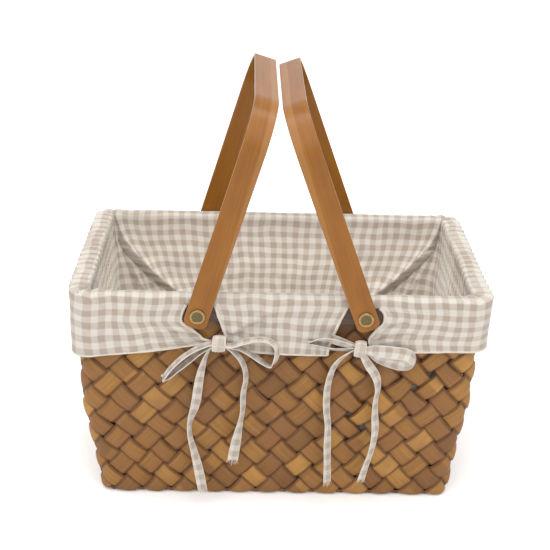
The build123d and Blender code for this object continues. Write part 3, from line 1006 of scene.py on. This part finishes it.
# Each bow: middle of its knot, size of the knot (width, height, depth in mm), and its loops as runs of (across, up,
# out) in mm from the knot, with the widths and the turns along them
knot_out = skirt_face + 4.5 * MM
bows = {
    "wide": {
        "knot": (-pivot_spread + 20.8 * MM, pivot_height - 29.0 * MM),
        "size": (14.0, 17.5, 9.0),
        "loops": [
            (((-4, 1, 0), (-13, -1, 1.5), (-24, -6, 2.5), (-36, -15, 2.5), (-46, -26, 2), (-53, -36.5, 1),
              (-54, -39, 0), (-49, -38, -1), (-40, -30, -1.5), (-29, -20, -1.5), (-17, -9, -1), (-4, -2, 0)),
             (6, 9, 9.5, 9.5, 9.5, 9, 8.5, 9, 9.5, 9.5, 9, 6), (100, 98, 98, 98, 100, 104, 96, 84, 80, 80, 80, 84)),
            (((4, -1, 0), (12, -1, 1.5), (22, 3, 2.5), (33, 5.8, 2.5), (43, 6, 2), (51, 3, 1.5), (56, -3, 1),
              (56.5, -11, 0.5), (54, -20, 0), (50, -23.5, 0), (40, -17.5, -0.5), (30, -10.5, -1), (19, -4.5, -1),
              (4, -2.5, 0)),
             (6, 9, 9.5, 9.5, 9.5, 9.5, 9, 9, 9, 9, 9.5, 9.5, 9, 6),
             (80, 82, 82, 82, 82, 78, 64, 58, 62, 84, 100, 102, 100, 96)),
        ],
    },
    "narrow": {
        "knot": (pivot_spread - 3.8 * MM, pivot_height - 32.0 * MM),
        "size": (12.0, 17.5, 9.0),
        "loops": [
            (((-4, 2, 0), (-12, 4.5, 1), (-22, 8, 1.5), (-31, 10, 1.5), (-40, 9.5, 1), (-47, 7, 0), (-50.5, 5, -1),
              (-45, 3.2, -2), (-36, 0, -2.4), (-25, -2.4, -2.4), (-15, -2.2, -1.6), (-4, -1, 0)),
             (5, 7.5, 8.5, 9, 8.5, 7, 6, 7, 8.5, 9, 8, 5), (30, 42, 48, 50, 52, 62, 88, 108, 122, 128, 132, 150)),
            (((4, -0.5, 0.5), (12, -0.8, 2), (22, -1.2, 2.8), (32, -2.4, 3), (42, -4, 2.4), (49.5, -7.5, 1.2),
              (53.2, -13.5, -0.2), (48.5, -18.2, -1.2), (39, -18.2, -1.8), (30, -16, -1.8), (20, -12.8, -1.6),
              (12, -8, -1), (4, -3.5, 0)),
             (6, 10.5, 12.5, 13, 13, 12.5, 11, 12, 12, 11, 9, 7, 4),
             (14, 10, 8, 8, 12, 32, 62, 24, 14, 14, 18, 30, 50)),
        ],
    },
}
bow_places = (("front", "left", "wide"), ("front", "right", "narrow"), ("back", "right", "wide"),
              ("back", "left", "narrow"))


def knot_piece(name, bow):
    """The wrapped band at the middle of a bow: a rounded pad, its folds running over it from top to bottom."""
    (across, up), (width, height, depth) = bow["knot"], bow["size"]
    points, cloth_place = [], []
    around, lanes = 40, 17
    for k in range(around):
        a = 2 * math.pi * k / around
        ca, sa = math.cos(a), math.sin(a)
        ca = math.copysign(abs(ca) ** 0.8, ca)
        sa = math.copysign(abs(sa) ** 0.75, sa)
        for lane in range(lanes):
            t = -1 + 2 * lane / (lanes - 1)
            fold = 0.24 * math.cos(t * 13 + 0.6 * math.sin(2 * a)) + 0.16 * math.cos(t * 23 + 1.3 * math.sin(a))
            edge_lip = 0.3 * math.exp(-(((abs(t) - 0.86) / 0.07) ** 2))
            barrel = 1 - 0.16 * abs(t) ** 3
            swell = (fold + edge_lip) * MM
            waist = width / 2 * t * (1 - 0.1 * abs(sa)) * MM
            points.append((across + waist + 0.5 * MM * sa, -(knot_out + (depth / 2 * MM * barrel + swell) * ca),
                           up + (height / 2 * MM * barrel + swell) * sa))
            cloth_place.append((t * width / 2 * MM, a / (2 * math.pi) * 42 * MM, 0.85 if abs(t) > 0.78 else 0.35))
    rings = grid_rows(around, lanes)
    faces = faces_between([*rings, rings[0]])
    faces += [tuple(ring[0] for ring in rings), tuple(ring[-1] for ring in rings[::-1])]
    return mesh_object(name, points, faces, gingham, {"cloth": cloth_place})


def along_run(values, count):
    """A list of values made into count values that pass smoothly through them."""
    return eased(np.array(values, float)[:, None], count)[:, 0]


def bow_line(bow, run, count):
    """A run of (across, up, out) from a bow's knot as count places in the front wall's frame."""
    across, up = bow["knot"]
    return eased([(across + x * MM, -(knot_out + out * MM), up + z * MM) for x, z, out in run], count)


def ride_as_tie(piece, node):
    """Fixes a piece of a bow or a tie end to the basket in place of its node."""
    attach(piece, BASKET)
    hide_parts(node)


loop_rows, sewn_rows = 90, 26
for face, side, kind in bow_places:
    bow = bows[kind]
    made = [turned_to(knot_piece(f"knot_{face}_{side}", bow), face)]
    for number, (run, widths, turns) in enumerate(bow["loops"]):
        loop = ribbon(f"loop_{face}_{side}_{number + 1}", bow_line(bow, run, loop_rows),
                      along_run(widths, loop_rows) * MM, along_run(turns, loop_rows),
                      edge_share=0.16 if kind == "narrow" else 0.28, shift=number * 5.0)
        made.append(turned_to(loop, face))
        if kind == "narrow" and number == 1:
            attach(loop, BASKET)
            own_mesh(loop)
    if kind == "narrow":
        line = bow_line(bow, ((-29, 9, -3.4), (-22, 7, -2.6), (-12, 4, -1.5), (-3, 2, 0)), sewn_rows)
        sewn = ribbon(f"sewn_tie_{face}_{side}", line, along_run((9, 9, 7, 5), sewn_rows) * MM,
                      along_run((2, 6, 20, 40), sewn_rows), shift=3.0)
        made.append(turned_to(sewn, face))
    for piece in made:
        ride_as_tie(piece, f"tie_bow_{face}_{side}")

# Tie ends: the route of each as (across, up) in mm from the middle of its knot, its length in mm along that route,
# and the band's widths and turns along it
tail_routes = {
    ("wide", "outer"): (((-6, -1), (-12, -11), (-17, -28), (-20, -47), (-22, -67), (-29, -88), (-28.5, -104),
                         (-23, -125), (-18.5, -146), (-15, -168)), 171.9,
                        (5, 7, 8.6, 9.2, 9.0, 8.0, 7.6, 8.6, 9.6, 9.4), (62, 48, 20, 8, 28, 62, 55, 24, 6, 4)),
    ("wide", "inner"): (((5, -1), (16, -9), (24, -20.5), (27.5, -37), (24, -54), (24.5, -73), (21, -92), (17.5, -112),
                         (15, -131)), 139.0,
                        (5, 6.5, 7.5, 8.0, 8.4, 8.8, 9.6, 10.4, 10.8), (66, 62, 58, 50, 54, 56, 40, 14, 4)),
    ("narrow", "inner"): (((-5, -1), (-16, -8), (-25, -19), (-29, -34), (-30.5, -51), (-30, -69), (-27, -88),
                           (-27.5, -109), (-26, -131), (-25.5, -152)), 160.7,
                          (5, 7, 8, 8.4, 8.8, 8.6, 8.4, 8.6, 8.8, 8.8), (55, 45, 38, 36, 40, 44, 38, 32, 36, 30)),
    ("narrow", "outer"): (((1, -3), (8, -16.5), (17.5, -29), (20.5, -43), (18, -58), (18.5, -75), (20.5, -93),
                           (18, -113), (13, -132), (9, -149)), 152.3,
                          (6, 8.6, 9.2, 8.6, 8.2, 8.6, 8.8, 8.6, 8.8, 8.8), (20, 16, 34, 50, 46, 30, 40, 44, 36, 30)),
}


def even_route(name, points):
    """Points along the smooth curve that a tie end's route makes, in the front wall's frame."""
    curve = bpy.data.curves.new(name, "CURVE")
    curve.dimensions = "3D"
    curve.resolution_u = 12
    spline = curve.splines.new("NURBS")
    spline.points.add(len(points) - 1)
    for point, place in zip(spline.points, points):
        point.co = (*place, 1.0)
    spline.order_u = 3
    spline.use_endpoint_u = True
    holder = bpy.data.objects.new(name, curve)
    bpy.context.scene.collection.objects.link(holder)
    bpy.context.view_layer.update()
    line = bpy.data.meshes.new_from_object(holder.evaluated_get(bpy.context.evaluated_depsgraph_get()))
    places = np.array([v.co for v in line.vertices])
    bpy.data.meshes.remove(line)
    bpy.data.objects.remove(holder)
    return places


for face, side, kind in bow_places:
    across, up = bows[kind]["knot"]
    for end in ("outer", "inner"):
        route, length, widths, turns = tail_routes[kind, end]
        places = [(across + x * MM, -knot_out, up + z * MM) for x, z in route]
        line = spaced(even_route(f"route_{face}_{side}_{end}", places), 1.5 * MM)
        tail = ribbon(f"tie_{face}_{side}_{end}", line, along_run(widths, len(line)) * MM,
                      along_run(turns, len(line)), cup=0.25 * MM, fray=5.0 * MM, shift=2.0 + 3 * len(end))
        turned_to(tail, face)
        ride_as_tie(tail, f"tie_end_{face}_{side}_{end}")

# ---------------------------------------------------------------------------------------------------------
# Camera, light and floor
# ---------------------------------------------------------------------------------------------------------
camera_place = Vector((-36.32, -1146.06, 697.85)) * MM
camera_yaw, camera_pitch, camera_roll = (math.radians(a) for a in (1.60, -23.27, 1.71))
camera_lens, camera_sensor = 77.28, 36.0  # millimetres
forward = Vector((math.sin(camera_yaw) * math.cos(camera_pitch), math.cos(camera_yaw) * math.cos(camera_pitch),
                  math.sin(camera_pitch)))
level_right = Vector((math.cos(camera_yaw), -math.sin(camera_yaw), 0.0))
level_up = level_right.cross(forward)
right = math.cos(camera_roll) * level_right + math.sin(camera_roll) * level_up
up = -math.sin(camera_roll) * level_right + math.cos(camera_roll) * level_up
camera_data = bpy.data.cameras.new("camera")
camera_data.lens = camera_lens
camera_data.sensor_width = camera_sensor
camera = bpy.data.objects.new("camera", camera_data)
camera.matrix_world = Matrix(
    (
        (right.x, up.x, -forward.x, camera_place.x),
        (right.y, up.y, -forward.y, camera_place.y),
        (right.z, up.z, -forward.z, camera_place.z),
        (0, 0, 0, 1),
    )
)
bpy.context.scene.collection.objects.link(camera)
bpy.context.scene.camera = camera


def soft_light(name, place, target, size, power):
    """A rectangular light at a place, turned towards a target."""
    data = bpy.data.lights.new(name, "AREA")
    data.shape = "RECTANGLE"
    data.size, data.size_y = size
    data.energy = power
    light = bpy.data.objects.new(name, data)
    light.location = place
    light.rotation_euler = (Vector(target) - Vector(place)).to_track_quat("-Z", "Y").to_euler()
    bpy.context.scene.collection.objects.link(light)


soft_light("top", place=(0.0, -0.1, 1.8), target=(0, 0, 0.2), size=(1.3, 0.6), power=12)
soft_light("inside", place=(0.0, -0.01, 0.232), target=(0, 0, 0.1), size=(0.3, 0.12), power=0.3)
bpy.data.objects["inside"].visible_camera = False
sun_data = bpy.data.lights.new("wide_softbox", "SUN")
sun_data.energy = 1.7
sun_data.angle = math.radians(75)
sun = bpy.data.objects.new("wide_softbox", sun_data)
sun.rotation_euler = Vector((0.08, 0.66, -0.74)).to_track_quat("-Z", "Y").to_euler()
bpy.context.scene.collection.objects.link(sun)
world = bpy.data.worlds.new("studio")
world.use_nodes = True
world.node_tree.nodes["Background"].inputs[0].default_value = (1.0, 1.0, 1.0, 1.0)
world.node_tree.nodes["Background"].inputs[1].default_value = 1.0
bpy.context.scene.world = world
bpy.context.scene.view_settings.view_transform = "Standard"

floor_size = 8.0
floor = mesh_object(
    "studio_floor",
    [(-floor_size, -floor_size, 0), (floor_size, -floor_size, 0), (floor_size, floor_size, 0),
     (-floor_size, floor_size, 0)],
    [(0, 1, 2, 3)],
    floor_material(),
)
